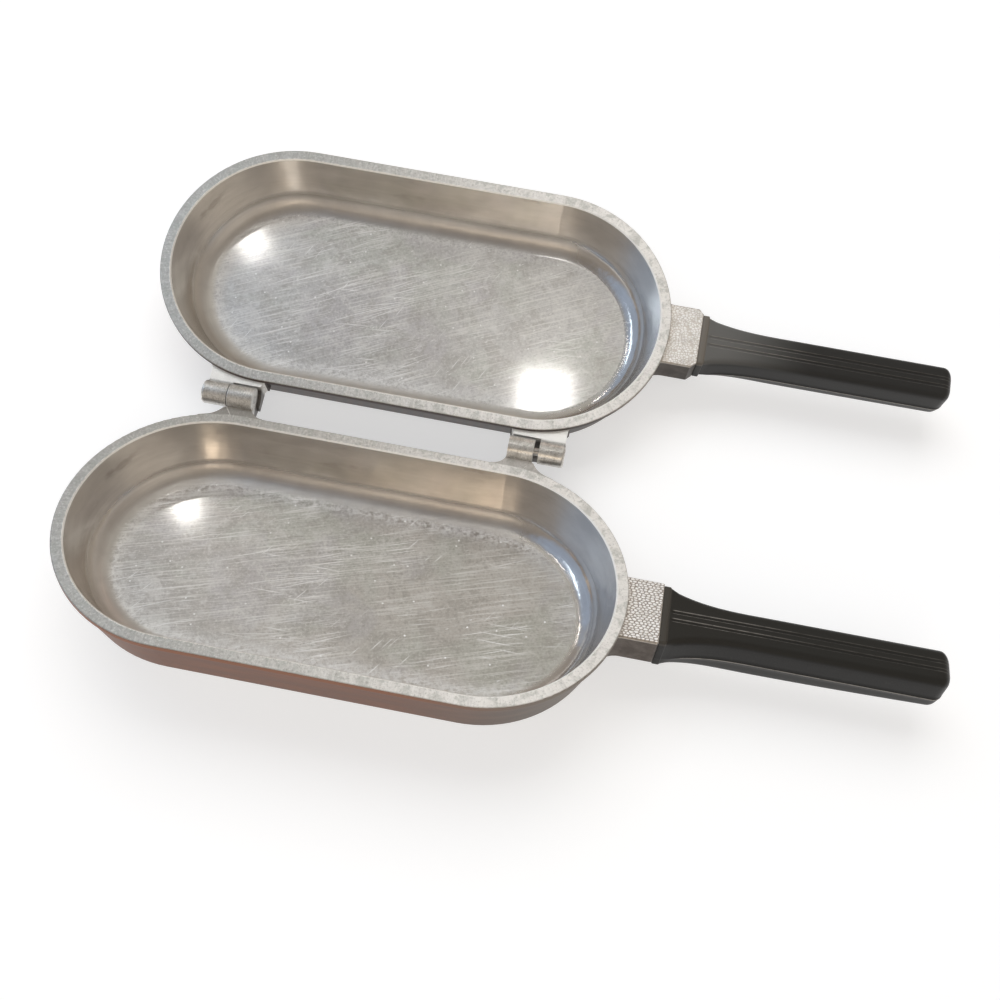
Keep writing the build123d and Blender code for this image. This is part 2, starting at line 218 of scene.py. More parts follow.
def half_matrix(side):
    """The placing of one half's frame: X along the hinge, Y across the pan, Z out of the rim, in metres."""
    angle = math.radians(TILT[side])
    x_dir = Vector((1, 0, 0))
    y_dir = Vector((0, math.cos(angle), side * math.sin(angle)))
    z_dir = Vector((0, -side * math.sin(angle), math.cos(angle)))
    place = Matrix((x_dir, y_dir, z_dir)).transposed().to_4x4()
    shift = LID_OFFSET if side == LID else 0
    place.translation = Vector((HINGE_X + shift, 0, HINGE_Z)) * MM
    return place


def make_camera():
    """The photograph's camera, fitted to the pans' outlines."""
    data = bpy.data.cameras.new("camera")
    camera = bpy.data.objects.new("camera", data)
    bpy.context.scene.collection.objects.link(camera)
    right, down, look = (Vector(axis) for axis in CAMERA_AXES)
    place = Matrix((right, -down, -look)).transposed().to_4x4()
    place.translation = Vector(CAMERA_PLACE) * MM
    camera.matrix_world = place
    data.sensor_width = SENSOR_WIDTH
    data.lens = LENS_SHARE * SENSOR_WIDTH
    data.clip_start = 0.01
    bpy.context.scene.camera = camera


class Shader:
    """Short names for the nodes of one material."""

    def __init__(self, name):
        self.material = bpy.data.materials.new(name)
        self.material.use_nodes = True
        self.tree = self.material.node_tree
        self.bsdf = self.tree.nodes["Principled BSDF"]

    def put(self, socket, value):
        """Links a socket to another, or sets it to a plain value."""
        if isinstance(value, bpy.types.NodeSocket):
            self.tree.links.new(value, socket)
        else:
            socket.default_value = value

    def node(self, kind, inputs=None, **settings):
        made = self.tree.nodes.new(kind)
        for key, value in settings.items():
            setattr(made, key, value)
        for key, value in (inputs or {}).items():
            self.put(made.inputs[key], value)
        return made

    def math(self, operation, a, b=0.0, clamp=False):
        return self.node("ShaderNodeMath", {0: a, 1: b}, operation=operation, use_clamp=clamp).outputs[0]

    def span(self, value, low, high, to_low=0.0, to_high=1.0):
        """A smooth step from to_low where value is low to to_high where it is high."""
        inputs = {"Value": value, "From Min": low, "From Max": high, "To Min": to_low, "To Max": to_high}
        return self.node("ShaderNodeMapRange", inputs, interpolation_type="SMOOTHSTEP").outputs[0]

    def times(self, a, b):
        return self.math("MULTIPLY", a, b)

    def plus(self, a, b):
        return self.math("ADD", a, b)

    def mix(self, factor, a, b):
        """From colour a to colour b."""
        made = self.node("ShaderNodeMix", data_type="RGBA")
        self.put(made.inputs[0], factor)
        for socket, value in ((made.inputs[6], a), (made.inputs[7], b)):
            self.put(socket, value if isinstance(value, bpy.types.NodeSocket) else (*value, 1))
        return made.outputs[2]

    def local(self, side, scale=(1, 1, 1), turn=0.0):
        """Millimetres in the pan's own frame: along, across from its middle, below or above its rim."""
        coordinates = self.node("ShaderNodeTexCoord").outputs["Object"]
        place = half_matrix(side)
        origin = place @ (Vector((0, side * CENTRE_V, RIM_LEVEL[side])) * MM)
        inputs = {"Vector": coordinates, "Location": -origin}
        moved = self.node("ShaderNodeMapping", inputs).outputs[0]
        inputs = {
            "Vector": moved,
            "Rotation": (-side * math.radians(TILT[side]), 0, 0),
            "Scale": (1 / MM, 1 / MM, 1 / MM),
        }
        upright = self.node("ShaderNodeMapping", inputs).outputs[0]
        if turn == 0 and tuple(scale) == (1, 1, 1):
            return upright
        inputs = {"Vector": upright, "Rotation": (0, 0, math.radians(turn))}
        turned = self.node("ShaderNodeMapping", inputs).outputs[0]
        return self.node("ShaderNodeMapping", {"Vector": turned, "Scale": scale}).outputs[0]

    def parts(self, vector):
        """The three coordinates of a vector."""
        return self.node("ShaderNodeSeparateXYZ", {0: vector}).outputs

    def stretch(self, vector, factor):
        """A vector times the same factor in all directions."""
        inputs = {0: vector, 1: (factor, factor, factor)}
        return self.node("ShaderNodeVectorMath", inputs, operation="MULTIPLY").outputs[0]

    def noise(self, vector, scale, detail=2.0, roughness=0.5, distortion=0.0, rise=None):
        """Cloudy noise. rise is a fourth coordinate."""
        inputs = {
            "Vector": vector,
            "Scale": scale,
            "Detail": detail,
            "Roughness": roughness,
            "Distortion": distortion,
        }
        if rise is None:
            return self.node("ShaderNodeTexNoise", inputs).outputs[0]
        return self.node("ShaderNodeTexNoise", {**inputs, "W": rise}, noise_dimensions="4D").outputs[0]

    def cells(self, vector, scale):
        """Distance to the nearest of scattered points, and each point's own random value."""
        inputs = {"Vector": vector, "Scale": scale, "Randomness": 1.0}
        made = self.node("ShaderNodeTexVoronoi", inputs, voronoi_dimensions="2D")
        value = self.node("ShaderNodeSeparateColor", {0: made.outputs["Color"]}).outputs[0]
        return made.outputs["Distance"], value

    def scratches(self, side, angle, length, spacing, width, share):
        """Straight scratches turned by angle, one in each chosen cell of length by spacing."""
        vector = self.local(side, (1 / length, 1 / spacing, 0.0), angle)
        distance, value = self.cells(vector, 1.0)
        line = self.span(distance, 0.0, width, 1.0, 0.0)
        return self.times(line, self.span(value, 1 - share, 1 - share + 0.02))

    def bump(self, height, distance, strength=1.0, normal=None):
        """A relief of height times distance in millimetres, over another one where normal is given."""
        inputs = {"Height": height, "Distance": distance * MM, "Strength": strength}
        if normal is not None:
            inputs["Normal"] = normal
        return self.node("ShaderNodeBump", inputs).outputs[0]

    def finish(self, color, roughness, metallic=1.0, normal=None, **constants):
        """Joins the looks to the shader. constants are the same all over, by the names of its sockets."""
        color = color if isinstance(color, bpy.types.NodeSocket) else (*color, 1)
        self.put(self.bsdf.inputs["Base Color"], color)
        self.put(self.bsdf.inputs["Roughness"], roughness)
        self.put(self.bsdf.inputs["Metallic"], metallic)
        for key, value in constants.items():
            self.bsdf.inputs[key.replace("_", " ")].default_value = value
        if normal is not None:
            self.put(self.bsdf.inputs["Normal"], normal)
        return self.material


def pan_places(s, vector):
    """Distance from the pan's middle line, a place along the rim, and how far along, across and up."""
    parts = s.parts(vector)
    straight = s.math("MINIMUM", s.math("MAXIMUM", parts[0], -STRAIGHT), STRAIGHT)
    beyond = s.math("SUBTRACT", parts[0], straight)
    radius = s.math("SQRT", s.plus(s.times(beyond, beyond), s.times(parts[1], parts[1])))
    unit = s.math("DIVIDE", RIM_RADIUS, s.math("MAXIMUM", radius, 1.0))
    inputs = {0: straight, 1: s.times(beyond, unit), 2: s.times(parts[1], unit)}
    around = s.node("ShaderNodeCombineXYZ", inputs)
    return radius, around.outputs[0], parts


def inside_material(side):
    """Worn aluminium of the cooking surface: a stained, scratched, frosted floor and smooth smoky walls."""
    s = Shader(f"{NAMES[side]}_inside")
    place = s.local(side)
    radius, around, (along, across, level) = pan_places(s, place)
    # 1 on the flat floor, 0 on the curve and the wall
    on_floor = s.span(radius, FLOOR_EDGE - 1.2, FLOOR_EDGE + 3.4, 1.0, 0.0)
    turn = SCRATCH_TURN[side]
    # Stains: broad tinted clouds, smaller blotches, lime spots
    green = s.span(s.noise(s.local(side, (0.9, 1, 1), 25), 0.019, 2.5, 0.55, 0.6), 0.47, 0.60)
    mauve = s.span(s.noise(s.local(side, (0.8, 1, 1), -40), 0.024, 2.5, 0.55, 0.6), 0.50, 0.62)
    blotch = s.noise(place, 0.085, 5.0, 0.62, 0.5)
    grit = s.noise(place, 0.75, 5.0, 0.75)
    spot_distance, spot_value = s.cells(place, 0.115)
    spots = s.times(s.span(spot_distance, 0.08, 0.26, 1.0, 0.0), s.span(spot_value, 0.62, 0.66))
    # Painted shade: the floor darker towards the left end and towards one side
    shaded = s.times(s.span(along, -10.0, -105.0), s.span(across, 46.0, -25.0, 0.35, 1.0))
    color = s.mix(s.times(shaded, LEFT_SHADE[side]), FLOOR_COLOR[side], (0.540, 0.515, 0.485))
    color = s.mix(s.times(green, 0.8), color, (0.655, 0.665, 0.610))
    color = s.mix(s.times(mauve, 0.8), color, (0.675, 0.650, 0.655))
    color = s.mix(s.times(s.span(blotch, 0.52, 0.64), 0.60), color, (0.840, 0.825, 0.795))
    color = s.mix(s.times(s.span(blotch, 0.48, 0.37), 0.50), color, (0.520, 0.495, 0.465))
    color = s.mix(s.times(s.span(grit, 0.52, 0.64), 0.50), color, (0.950, 0.940, 0.915))
    color = s.mix(s.times(s.span(grit, 0.47, 0.36), 0.45), color, (0.430, 0.410, 0.385))
    color = s.mix(s.times(spots, 0.30), color, (0.900, 0.895, 0.880))
    # Brush marks, scratches in bundles, nicks
    brushed = s.noise(s.local(side, (0.022, 1.15, 0.0), -turn), 1.0, 4.0, 0.7)
    brushed = s.times(s.span(brushed, 0.47, 0.62), s.span(s.noise(place, 0.028, 2.0), 0.38, 0.56, 0.25, 1.0))
    bundles = s.span(s.noise(s.local(side, (0.5, 1, 1), -turn), 0.045, 3.0, 0.6), 0.44, 0.60)
    lines = 0.0
    for angle, *sizes in SCRATCH_SETS:
        lines = s.math("MAXIMUM", lines, s.scratches(side, -turn - angle, *sizes))
    lines = s.times(lines, s.plus(0.15, s.times(bundles, 0.85)))
    nicks = s.scratches(side, -turn - 12, 13.0, 3.4, 0.11, NICK_SHARE[side])
    speck_distance, speck_value = s.cells(place, 0.14)
    specks = s.times(s.span(speck_distance, 0.05, 0.085, 1.0, 0.0), s.span(speck_value, 0.88, 0.90))
    marks = s.math("MAXIMUM", lines, s.math("MAXIMUM", nicks, specks))
    # Frosted ring along the floor's edge
    ring = s.times(s.span(radius, FLOOR_EDGE - 8.5, FLOOR_EDGE - 1.0), s.span(along, 106.0, 80.0, 0.20, 1.0))
    mottle = s.span(s.noise(place, 0.42, 5.0, 0.80, 0.3), 0.42, 0.58)
    frost = s.times(s.times(ring, on_floor), s.plus(0.05, s.times(mottle, 0.95)))
    color = s.mix(s.times(frost, 0.65), color, (0.950, 0.940, 0.910))
    color = s.mix(s.times(brushed, 0.60), color, (0.960, 0.945, 0.910))
    color = s.mix(marks, color, (0.990, 0.985, 0.965))
    off_floor = s.math("SUBTRACT", 1.0, on_floor)
    # Walls: smoky, turned along the rim, a few dark smudges under the mouth
    turned = s.noise(s.stretch(around, 0.02), 1.0, 2.0, 0.5, rise=s.times(level, 1.1))
    smoke = s.noise(s.stretch(around, 0.03), 1.0, 4.0, 0.6, rise=s.times(level, 0.09))
    wall = s.mix(s.span(smoke, 0.40, 0.64), WALL_COLOR[side], (0.780, 0.750, 0.710))
    wall = s.mix(s.times(s.span(turned, 0.50, 0.70), 0.25), wall, (0.860, 0.835, 0.790))
    smudge = s.times(s.span(smoke, 0.42, 0.33), s.span(level, -22.0, -8.0))
    wall = s.mix(s.times(smudge, 0.45), wall, (0.330, 0.300, 0.270))
    color = s.mix(on_floor, wall, color)
    # The mouth's edge: wear and a painted highlight, a pale line round it, less metallic
    mouth = s.times(s.span(level, -0.85, -0.60), 0.85)
    color = s.mix(mouth, color, EDGE_WEAR_AND_HIGHLIGHT)
    rough = s.plus(0.28, s.times(blotch, 0.10))
    rough = s.plus(rough, s.times(frost, 0.22))
    curve_rough = s.span(along, 66.0, 92.0, 0.38, 0.14)
    rough_wall = s.span(radius, FLOOR_EDGE + 8.0, FLOOR_EDGE + 11.5, curve_rough, 0.16)
    rough_wall = s.plus(rough_wall, s.times(smoke, 0.06))
    rough = s.plus(s.times(on_floor, rough), s.times(off_floor, rough_wall))
    shine = s.plus(s.times(frost, 0.42), s.plus(s.times(brushed, 0.22), s.times(marks, 0.70)))
    shine = s.math("SUBTRACT", 1.0, s.plus(s.times(on_floor, shine), s.times(mouth, 0.6)), clamp=True)
    # Slow waves, an uneven curve to the wall, brush grain
    normal = s.bump(s.noise(place, 0.06, 2.0), 0.5, 0.5)
    uneven = s.times(off_floor, s.span(radius, FLOOR_EDGE + 7.0, FLOOR_EDGE + 12.0, 1.0, 0.0))
    normal = s.bump(s.times(s.noise(place, 0.16, 3.0), uneven), 0.30, 0.7, normal)
    normal = s.bump(s.plus(s.times(turned, 0.5), s.times(lines, -0.4)), 0.02, 0.5, normal)
    s.put(s.bsdf.inputs["Coat Weight"], s.plus(0.12, s.times(on_floor, 0.88)))
    return s.finish(color, rough, metallic=shine, normal=normal, Coat_Roughness=0.08, Coat_IOR=2.0)


def rim_material(side):
    """Ground rim face: streaks across it, paler towards the right end in painted light, a worn inner edge with
    a painted highlight, and a painted shade along the outer one.
    """
    s = Shader(f"{NAMES[side]}_rim")
    place = s.local(side)
    radius, around, (along, _, _) = pan_places(s, place)
    streaks = s.noise(around, 1.05, 4.0, 0.7, rise=s.times(radius, 0.16))
    coarse = s.noise(around, 0.30, 3.0, 0.6, rise=s.times(radius, 0.12))
    mottle = s.noise(place, 0.16, 4.0, 0.65, 0.4)
    # Painted light and shade: paler and less metallic towards the right end, darker towards the left
    right = s.span(along, -95.0, 110.0)
    streaked = s.span(streaks, 0.32, 0.68)
    color_left = s.mix(streaked, (0.540, 0.525, 0.490), (0.700, 0.685, 0.645))
    color_right = s.mix(streaked, (0.840, 0.815, 0.775), (0.960, 0.935, 0.890))
    color = s.mix(right, color_left, color_right)
    color = s.mix(s.times(s.span(coarse, 0.46, 0.34), 0.30), color, (0.500, 0.480, 0.450))
    color = s.mix(s.times(s.span(mottle, 0.48, 0.62), 0.70), color, (0.560, 0.560, 0.515))
    grit = s.noise(place, 0.8, 5.0, 0.75)
    color = s.mix(s.times(s.span(grit, 0.52, 0.64), 0.60), color, (0.930, 0.915, 0.880))
    color = s.mix(s.times(s.span(grit, 0.46, 0.36), 0.55), color, (0.380, 0.360, 0.325))
    # Inner edge: wear and a painted highlight, a pale line along it
    dents = s.span(s.noise(around, 0.7, 3.0, 0.7), 0.40, 0.62)
    inner = s.span(s.plus(radius, s.times(dents, 0.3)), 63.25, 62.9)
    color = s.mix(s.times(inner, 0.90), color, EDGE_WEAR_AND_HIGHLIGHT)
    # Painted shade: a dark line along the rounded outer edge
    outer = s.span(radius, 67.3, 67.9)
    color = s.mix(s.times(outer, 0.55), color, (0.300, 0.270, 0.240))
    shine = s.math("SUBTRACT", 0.84, s.plus(s.times(right, 0.44), s.times(inner, 0.20)))
    normal = s.bump(streaks, 0.05, 0.4)
    normal = s.bump(s.noise(place, 0.25, 2.0), 0.25, 0.5, normal)
    return s.finish(color, s.plus(0.36, s.times(streaks, 0.14)), metallic=shine, normal=normal)


def outside_material(side):
    """Brown baked-on patina with a painted reflection of a brown surface below, greyer at the handle's end, and
    a painted shade that makes the hinge side nearly black.
    """
    s = Shader(f"{NAMES[side]}_outside")
    place = s.local(side)
    along, across, level = s.parts(place)
    # Brown patina and a painted reflection of a brown surface below: browner on the wall, a paler band at the
    # flange, greyer towards the handle's end
    flange = s.span(level, -4.6, -3.6)
    right = s.span(along, 30.0, 112.0)
    grain = s.noise(place, 1.6, 3.0, 0.6)
    smear = s.noise(s.local(side, (0.022, 0.022, 0.12)), 1.0, 4.0, 0.6)
    brown = s.mix(s.span(smear, 0.35, 0.7), (0.150, 0.058, 0.028), (0.215, 0.092, 0.050))
    grey = s.mix(s.span(smear, 0.35, 0.7), (0.105, 0.083, 0.066), (0.165, 0.135, 0.110))
    light = s.mix(right, (0.290, 0.130, 0.076), (0.210, 0.175, 0.145))
    color = s.mix(s.times(flange, 0.75), s.mix(right, brown, grey), light)
    # Painted shade: the hinge side, between the halves, nearly black and less metallic
    hinge_side_shade = s.span(s.times(across, -side), 40.0, 58.0)
    color = s.mix(s.times(hinge_side_shade, 0.88), color, (0.030, 0.022, 0.020))
    color = s.mix(s.times(s.span(grain, 0.5, 0.8), 0.20), color, (0.28, 0.2, 0.15))
    shine = s.math("SUBTRACT", 0.85, s.times(hinge_side_shade, 0.6))
    normal = s.bump(grain, 0.05, 0.5)
    return s.finish(color, s.plus(0.38, s.times(smear, 0.16)), metallic=shine, normal=normal)


def bottom_material(side):
    """Turned bottom with heat stains."""
    s = Shader(f"{NAMES[side]}_bottom")
    place = s.local(side)
    radius = pan_places(s, place)[0]
    brushed = s.noise(s.local(side, (0.04, 1.4, 0.4), 4), 1.0, 3.0, 0.6)
    stain = s.noise(place, 0.03, 5.0, 0.65, 0.6)
    color = s.mix(s.span(stain, 0.4, 0.68), (0.50, 0.47, 0.43), (0.16, 0.10, 0.07))
    color = s.mix(s.span(radius, 44.0, 56.0), color, (0.15, 0.09, 0.06))
    color = s.mix(s.times(s.span(brushed, 0.5, 0.8), 0.3), color, (0.62, 0.6, 0.57))
    return s.finish(color, s.plus(0.36, s.times(stain, 0.25)), normal=s.bump(brushed, 0.03, 0.5))


def hinge_material(side):
    """Ears and knuckles: grained bright casting with fine turned lines, and a painted shade low on the
    knuckles.
    """
    s = Shader(f"{NAMES[side]}_hinge")
    place = s.local(side)
    along, across, level = s.parts(place)
    toward_hinge = s.times(across, -side)
    grain = s.noise(place, 1.1, 4.0, 0.7)
    smear = s.noise(place, 0.30, 3.0, 0.6)
    turned = s.noise(s.local(side, (2.4, 0.06, 0.06)), 1.0, 3.0, 0.6)
    color = s.mix(s.span(smear, 0.35, 0.68), (0.620, 0.600, 0.560), (0.830, 0.815, 0.775))
    color = s.mix(s.times(s.span(grain, 0.52, 0.64), 0.40), color, (0.990, 0.980, 0.950))
    color = s.mix(s.times(s.span(grain, 0.48, 0.36), 0.40), color, (0.240, 0.225, 0.200))
    color = s.mix(s.times(s.span(turned, 0.45, 0.70), 0.20), color, (0.850, 0.830, 0.800))
    # over and height are 0 on the hinge line; low_side grows downwards and away from the photo's camera
    over = s.plus(toward_hinge, -CENTRE_V)
    height = s.plus(level, RIM_LEVEL[side])
    low_side = s.plus(s.times(over, -0.66 * side), s.times(height, -0.75))
    knuckle = s.span(toward_hinge, CENTRE_V - 8.5, CENTRE_V - 6.5)
    # Painted shade: the knuckles dark and less metallic on their lower side
    knuckle_underside_shade = s.times(s.span(low_side, 2.2, 5.2), s.times(knuckle, s.span(height, 1.5, -0.5)))
    color = s.mix(s.times(knuckle_underside_shade, 0.85), color, (0.055, 0.045, 0.038))
    dull = s.times(knuckle_underside_shade, 0.5)
    if side == LID:
        # The far ears' flat tops are paler, more so towards the right, and less metallic: a painted highlight
        flat = s.times(s.math("SUBTRACT", 1.0, knuckle), s.span(level, -6.6, -5.8))
        color = s.mix(s.times(flat, s.span(along, -70.0, 70.0, 0.70, 0.92)), color, (0.985, 0.980, 0.940))
        dull = s.plus(dull, s.times(flat, 0.55))
    shine = s.math("SUBTRACT", 0.80, dull)
    normal = s.bump(grain, 0.05, 0.5)
    return s.finish(color, s.plus(0.24, s.times(grain, 0.16)), metallic=shine, normal=normal)


def block_material(side):
    """Smooth sides of the handle block: grey-brown patina and a painted reflection of a brown surface below,
    darker on the lid, with a painted highlight along the rounded top edge.
    """
    s = Shader(f"{NAMES[side]}_block")
    place = s.local(side)
    grain = s.noise(place, 1.3, 4.0, 0.65)
    smear = s.noise(place, 0.16, 3.0, 0.6)
    top = BLOCK_LEVEL[side] - RIM_LEVEL[side]
    crest = s.span(s.parts(place)[2], top - 1.1, top - 0.5)
    color = s.mix(s.span(smear, 0.35, 0.68), *BLOCK_COLORS[side])
    color = s.mix(s.times(s.span(grain, 0.55, 0.8), 0.20), color, (0.40, 0.37, 0.34))
    # Painted highlight along the rounded top edge
    color = s.mix(s.times(crest, 0.8), color, (0.62, 0.58, 0.53))
    return s.finish(color, s.plus(0.34, s.times(grain, 0.14)), normal=s.bump(grain, 0.06, 0.5))


def pebble_material(side):
    """Cobbled block top: pale bright pebbles, darker and browner low in the gaps."""
    s = Shader(f"{NAMES[side]}_pebbles")
    place = s.local(side)
    top = BLOCK_LEVEL[side] - RIM_LEVEL[side]
    lift = s.span(s.parts(place)[2], top + 0.05, top + PEBBLE_HEIGHT[side] * 0.75)
    grain = s.noise(place, 2.0, 3.0, 0.6)
    smear = s.noise(place, 0.22, 3.0, 0.6)
    low, high = PEBBLE_COLORS[side]
    color = s.mix(lift, low, high)
    color = s.mix(s.times(s.span(smear, 0.45, 0.7), 0.30), color, (0.520, 0.480, 0.430))
    color = s.mix(s.times(s.span(grain, 0.5, 0.8), 0.25), color, (0.930, 0.910, 0.880))
    shine = s.math("SUBTRACT", PEBBLE_METAL[side], s.times(lift, 0.40))
    normal = s.bump(grain, 0.02, 0.4)
    return s.finish(color, s.plus(0.26, s.times(grain, 0.12)), metallic=shine, normal=normal)


def phenolic_material(side):
    """Black moulded handle: fine speckle, scuffs, a top lighter than the sides in painted light with a painted
    sheen near the neck, a worn seam and worn groove edges with painted highlights, and a painted reflection on
    the collar.
    """
    s = Shader(f"{NAMES[side]}_phenolic")
    place = s.local(side)
    along, across, level = s.parts(place)
    speckle = s.noise(place, 2.2, 3.0, 0.7)
    scuff = s.noise(s.local(side, (0.10, 0.9, 0.3), 12), 1.0, 4.0, 0.7)
    top = BLOCK_LEVEL[side] - RIM_LEVEL[side]
    color = s.mix(s.span(speckle, 0.35, 0.7), (0.008, 0.0072, 0.006), (0.017, 0.016, 0.0145))
    # Painted light: the top lighter than the sides, with a painted sheen near the neck, strong on the lid's
    # handle
    on_top = s.span(level, top - 3.4, top - 1.6)
    away_from_neck = s.span(along, BLOCK_END + 8.0, BLOCK_END + 62.0)
    lit_top_color = s.mix(away_from_neck, PHENOLIC_NECK_SHEEN[side], PHENOLIC_TOP[side])
    color = s.mix(s.times(on_top, 0.8), color, lit_top_color)
    color = s.mix(s.times(s.span(scuff, 0.58, 0.8), 0.35), color, (0.050, 0.047, 0.042))
    wear = s.noise(s.local(side, (0.25, 0.25, 0.25)), 1.0, 3.0, 0.6)
    # The seam: worn, and a painted highlight along its ridge
    seam = s.math("ABSOLUTE", s.plus(level, SEAM_DEPTH - top))
    seam = s.times(s.span(seam, 0.34, 0.16), s.span(along, BLOCK_END + 9.0, BLOCK_END + 15.0))
    color = s.mix(s.times(seam, s.span(wear, 0.25, 0.55, 0.5, 1.0)), color, (0.420, 0.395, 0.360))
    # Groove edges: worn, and a painted highlight along them, strongest near the neck
    groove_edge_wear_and_highlight = 0.0
    for groove in GROOVE_PLACES:
        away = s.math("ABSOLUTE", s.plus(across, -groove))
        edge = s.span(s.math("ABSOLUTE", s.plus(away, -GROOVE_HALF)), 0.26, 0.10)
        groove_edge_wear_and_highlight = s.math("MAXIMUM", groove_edge_wear_and_highlight, edge)
    fade = s.span(along, BLOCK_END + 28.0, BLOCK_END + 75.0, 1.0, 0.25)
    start = s.span(along, BLOCK_END + 4.5, BLOCK_END + 6.5)
    groove_edge_wear_and_highlight = s.times(s.times(groove_edge_wear_and_highlight, fade), s.times(on_top, start))
    color = s.mix(s.times(groove_edge_wear_and_highlight, s.span(wear, 0.25, 0.6, 0.35, 0.9)), color, (0.230, 0.215, 0.195))
    # Painted reflection: a pale brownish band on top of the collar, strong on the lid's handle
    collar = s.times(s.span(along, BLOCK_END + 4.2, BLOCK_END + 3.4), on_top)
    color = s.mix(s.times(collar, COLLAR_REFLECTION[side]), color, (0.165, 0.145, 0.120))
    rough = s.plus(0.30, s.times(speckle, 0.14))
    normal = s.bump(speckle, 0.03, 0.5)
    return s.finish(color, rough, metallic=0.0, normal=normal, Specular_IOR_Level=0.22)


def steel_material():
    """Plain turned steel of the screws, washers and pins."""
    s = Shader("steel_fittings")
    coordinates = s.node("ShaderNodeTexCoord").outputs["Object"]
    grain = s.noise(coordinates, 2500.0, 3.0, 0.6)
    color = s.mix(grain, (0.42, 0.41, 0.4), (0.66, 0.65, 0.63))
    return s.finish(color, s.plus(0.24, s.times(grain, 0.2)), normal=s.bump(grain, 0.02, 0.4))


def dress_pan(side):
    """Gives each CAD face of a pan the finish of its place."""
    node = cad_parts[f"{NAMES[side]}_pan"]
    materials = {
        "inside": inside_material(side),
        "rim": rim_material(side),
        "outside": outside_material(side),
        "bottom": bottom_material(side),
        "block": block_material(side),
        "hinge": hinge_material(side),
    }
    mesh = node.data
    mesh.materials.clear()
    for material in materials.values():
        mesh.materials.append(material)
    index = {name: i for i, name in enumerate(materials)}
    to_local = half_matrix(side).inverted()
    turn = to_local.to_3x3()
    for face in mesh.polygons:
        u, v, w = (to_local @ face.center) / MM
        v -= side * CENTRE_V
        w -= RIM_LEVEL[side]
        normal = turn @ face.normal
        radius = math.hypot(max(abs(u) - STRAIGHT, 0), v)
        upward = normal.z > 0.5
        toward_hinge = -side * v
        draft = w * WALL_DRAFT
        ear = toward_hinge > EAR_START and EAR_ALONG[0] < abs(u) < EAR_ALONG[1] and radius > EAR_RADIUS
        at_block = u > BLOCK_START and abs(v) < BLOCK_SIDE and w > BLOCK_UNDER
        knuckle = toward_hinge > KNUCKLE_START and abs(u) > KNUCKLE_ALONG
        if w > RIM_FACE_LEVEL and radius < RIM_FACE_RADIUS and upward:
            zone = "rim"
        elif radius < INSIDE_RADIUS + draft and w > INSIDE_LEVEL:
            zone = "inside"
        elif w < BOTTOM_LEVEL:
            zone = "bottom"
        elif at_block and radius > BLOCK_RADIUS + draft:
            zone = "block"
        elif knuckle or ear and w > EAR_LEVEL and upward:
            zone = "hinge"
        else:
            zone = "outside"
        face.material_index = index[zone]


def world_light():
    """A studio: pale at the horizon, brown-grey above, with a few soft patches, one of them cool."""
    world = bpy.data.worlds.new("studio")
    bpy.context.scene.world = world
    world.use_nodes = True
    tree = world.node_tree
    coordinates = tree.nodes.new("ShaderNodeTexCoord").outputs["Generated"]
    height = tree.nodes.new("ShaderNodeSeparateXYZ")
    ramp = tree.nodes.new("ShaderNodeValToRGB")
    tree.links.new(coordinates, height.inputs[0])
    tree.links.new(height.outputs[2], ramp.inputs[0])
    elements = ramp.color_ramp.elements
    while len(elements) < len(WORLD_STOPS):
        elements.new(1.0)
    for element, (position, *color) in zip(elements, WORLD_STOPS):
        element.position = position
        element.color = (*color, 1)
    color = ramp.outputs[0]
    for azimuth, elevation, inner, outer, tint in WORLD_PATCHES:
        toward = tree.nodes.new("ShaderNodeVectorMath")
        toward.operation = "DOT_PRODUCT"
        tree.links.new(coordinates, toward.inputs[0])
        toward.inputs[1].default_value = direction(azimuth, elevation)
        edge = tree.nodes.new("ShaderNodeMapRange")
        edge.interpolation_type = "SMOOTHSTEP"
        tree.links.new(toward.outputs["Value"], edge.inputs["Value"])
        edge.inputs["From Min"].default_value = math.cos(math.radians(outer))
        edge.inputs["From Max"].default_value = math.cos(math.radians(inner))
        mix = tree.nodes.new("ShaderNodeMix")
        mix.data_type = "RGBA"
        tree.links.new(edge.outputs[0], mix.inputs[0])
        tree.links.new(color, mix.inputs[6])
        mix.inputs[7].default_value = (*tint, 1)
        color = mix.outputs[2]
    tree.links.new(color, tree.nodes["Background"].inputs[0])


def direction(azimuth, elevation):
    """Azimuth 0 is +Y and turns towards +X."""
    a, e = math.radians(azimuth), math.radians(elevation)
    return Vector((math.sin(a) * math.cos(e), math.cos(a) * math.cos(e), math.sin(e)))


def lamp(name, azimuth, elevation, distance, size, radiance, color, glossy, target):
    """An area lamp that looks at its target on the pans."""
    data = bpy.data.lights.new(name, "AREA")
    data.shape = "RECTANGLE"
    data.size, data.size_y = size
    data.energy = radiance * math.pi * size[0] * size[1]
    data.color = color
    made = bpy.data.objects.new(name, data)
    bpy.context.scene.collection.objects.link(made)
    back = direction(azimuth, elevation)
    made.location = Vector(target) + back * distance
    made.rotation_mode = "QUATERNION"
    made.rotation_quaternion = (-back).to_track_quat("-Z", "Y")
    made.visible_glossy = glossy


